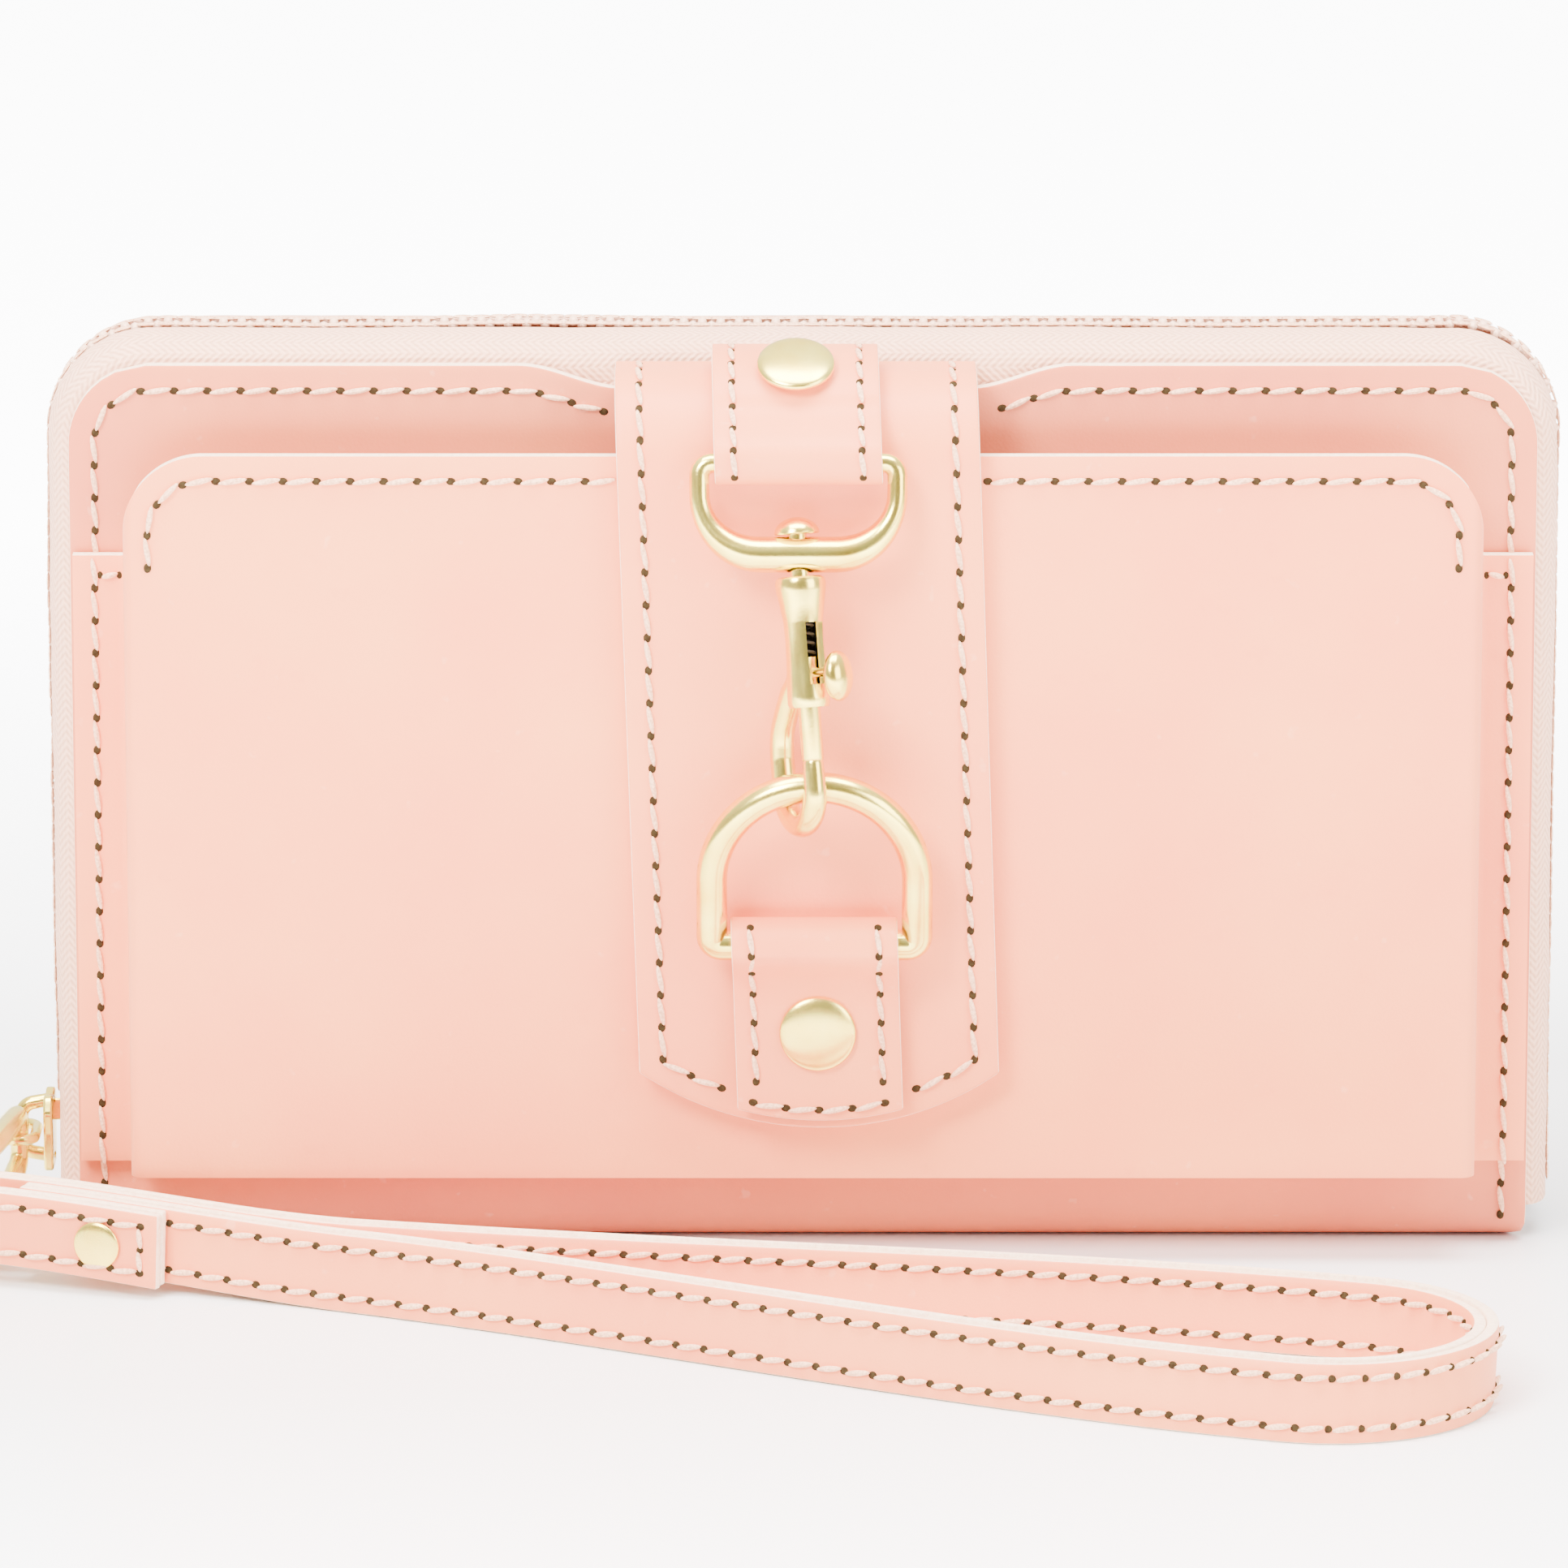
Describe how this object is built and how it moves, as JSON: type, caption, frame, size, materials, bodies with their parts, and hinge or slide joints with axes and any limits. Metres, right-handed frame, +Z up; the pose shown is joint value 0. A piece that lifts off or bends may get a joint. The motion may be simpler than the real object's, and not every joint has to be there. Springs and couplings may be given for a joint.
{
  "type": "wristlet wallet",
  "caption": "Zip-around leather wristlet wallet with a front phone pocket, snap-hook closure tab and looped wrist strap.",
  "frame": {"origin": "centre of the spine's underside, midway between the covers, on the surface the wallet stands on", "axes": "+X to the right seen from the front, +Y towards the back cover, +Z up"},
  "size_m": [0.2023, 0.1176, 0.1169],
  "materials": {
    "back_card_pocket_1": "pale pink cloth",
    "back_card_pocket_2": "pale pink cloth",
    "back_cover": "smooth blush-pink leather",
    "back_lining": "pale pink cloth",
    "bolt_spring": "plain steel",
    "closure_tab": "smooth blush-pink leather",
    "d_ring": "pale gold plate, polished",
    "divider_pouch": "pale pink cloth",
    "front_card_pocket_1": "pale pink cloth",
    "front_card_pocket_2": "pale pink cloth",
    "front_cover": "smooth blush-pink leather",
    "front_lining": "pale pink cloth",
    "hook_body": "pale gold plate, polished",
    "lower_chape": "smooth blush-pink leather",
    "lower_rivet": "pale gold plate, polished",
    "magnet_socket": "plain steel",
    "phone_pocket": "smooth blush-pink leather",
    "pull_link": "pale gold plate, polished",
    "pull_ring": "pale gold plate, polished",
    "snap_bolt": "pale gold plate, polished",
    "strap_rivet": "pale gold plate, polished",
    "swivel_eye": "pale gold plate, polished",
    "swivel_post": "pale gold plate, polished",
    "tab_lining": "pale pink cloth",
    "tab_magnet": "plain steel",
    "upper_chape": "smooth blush-pink leather",
    "upper_rivet": "pale gold plate, polished",
    "wrist_strap": "smooth blush-pink leather",
    "zip_coil_back": "pale pink nylon coil",
    "zip_coil_front": "pale pink nylon coil",
    "zip_slider": "pale gold plate, polished",
    "zip_tape_back": "pale pink cloth",
    "zip_tape_front": "pale pink cloth"
  },
  "bodies": {
    "front_half": {"front_cover": "front_cover", "front_lining": "front_lining", "front_card_pocket_1": "front_card_pocket_1", "front_card_pocket_2": "front_card_pocket_2", "divider_pouch": "divider_pouch", "zip_tape_front": "zip_tape_front", "zip_coil_front": "zip_coil_front", "phone_pocket": "phone_pocket", "magnet_socket": "magnet_socket"},
    "back_half": {"back_cover": "back_cover", "back_lining": "back_lining", "back_card_pocket_1": "back_card_pocket_1", "back_card_pocket_2": "back_card_pocket_2", "zip_tape_back": "zip_tape_back", "zip_coil_back": "zip_coil_back"},
    "tab": {"closure_tab": "closure_tab", "tab_lining": "tab_lining", "tab_magnet": "tab_magnet", "upper_chape": "upper_chape", "lower_chape": "lower_chape", "upper_rivet": "upper_rivet", "lower_rivet": "lower_rivet"},
    "ring": {"d_ring": "d_ring"},
    "eye": {"swivel_eye": "swivel_eye"},
    "hook": {"hook_body": "hook_body", "swivel_post": "swivel_post", "bolt_spring": "bolt_spring"},
    "bolt": {"snap_bolt": "snap_bolt"},
    "slider": {"zip_slider": "zip_slider"},
    "link": {"pull_link": "pull_link"},
    "pull": {"pull_ring": "pull_ring"},
    "strap": {"wrist_strap": "wrist_strap", "strap_rivet": "strap_rivet"}
  },
  "joints": [
    {"name": "back_cover_hinge", "type": "hinge", "parent": "front_half", "child": "back_half", "pos_m": [0, 0.012, 0.001], "axis": [-1, 0, 0], "range_deg": [0, 90]},
    {"name": "tab_hinge", "type": "hinge", "parent": "front_half", "child": "tab", "pos_m": [0, -0.011, 0.1123], "axis": [-1, 0, 0], "range_deg": [0, 90]},
    {"name": "ring_swing", "type": "hinge", "parent": "tab", "child": "ring", "pos_m": [0.0014, -0.0312, 0.0427], "axis": [1, 0, 0], "range_deg": [-3, 4]},
    {"name": "eye_swing", "type": "hinge", "parent": "tab", "child": "eye", "pos_m": [-0.0006, -0.0304, 0.103], "axis": [1, 0, 0], "range_deg": [-1.95, 1.47]},
    {"name": "hook_swivel", "type": "hinge", "parent": "eye", "child": "hook", "pos_m": [-0.0006, -0.03289, 0.09208], "axis": [-0.0714, 0.2221, 0.9724], "range_deg": [-14, 4]},
    {"name": "bolt_slide", "type": "slide", "parent": "hook", "child": "bolt", "axis": [-0.0714, 0.2221, 0.9724], "range_m": [0, 0.005], "stiffness_N_per_m": 200, "springref_m": -0.001, "deforming": ["bolt_spring"]},
    {"name": "slider_slide", "type": "slide", "parent": "front_half", "child": "slider", "axis": [0, 0, 1], "range_m": [0, 0.07]},
    {"name": "link_swing", "type": "hinge", "parent": "slider", "child": "link", "pos_m": [-0.0991, 0, 0.0115], "axis": [0, 0, 1], "range_deg": [-5, 5]},
    {"name": "pull_swing", "type": "hinge", "parent": "link", "child": "pull", "pos_m": [-0.0991, -0.0046, 0.0115], "axis": [0, 0, 1], "range_deg": [-6, 6]},
    {"name": "strap_swing", "type": "hinge", "parent": "pull", "child": "strap", "pos_m": [-0.10278, -0.02781, 0.005], "axis": [0, 0, -1], "range_deg": [-4, 40]}
  ],
  "couplings": [
    {"joint": "eye_swing", "follows": "ring_swing", "ratio": -0.4871}
  ]
}
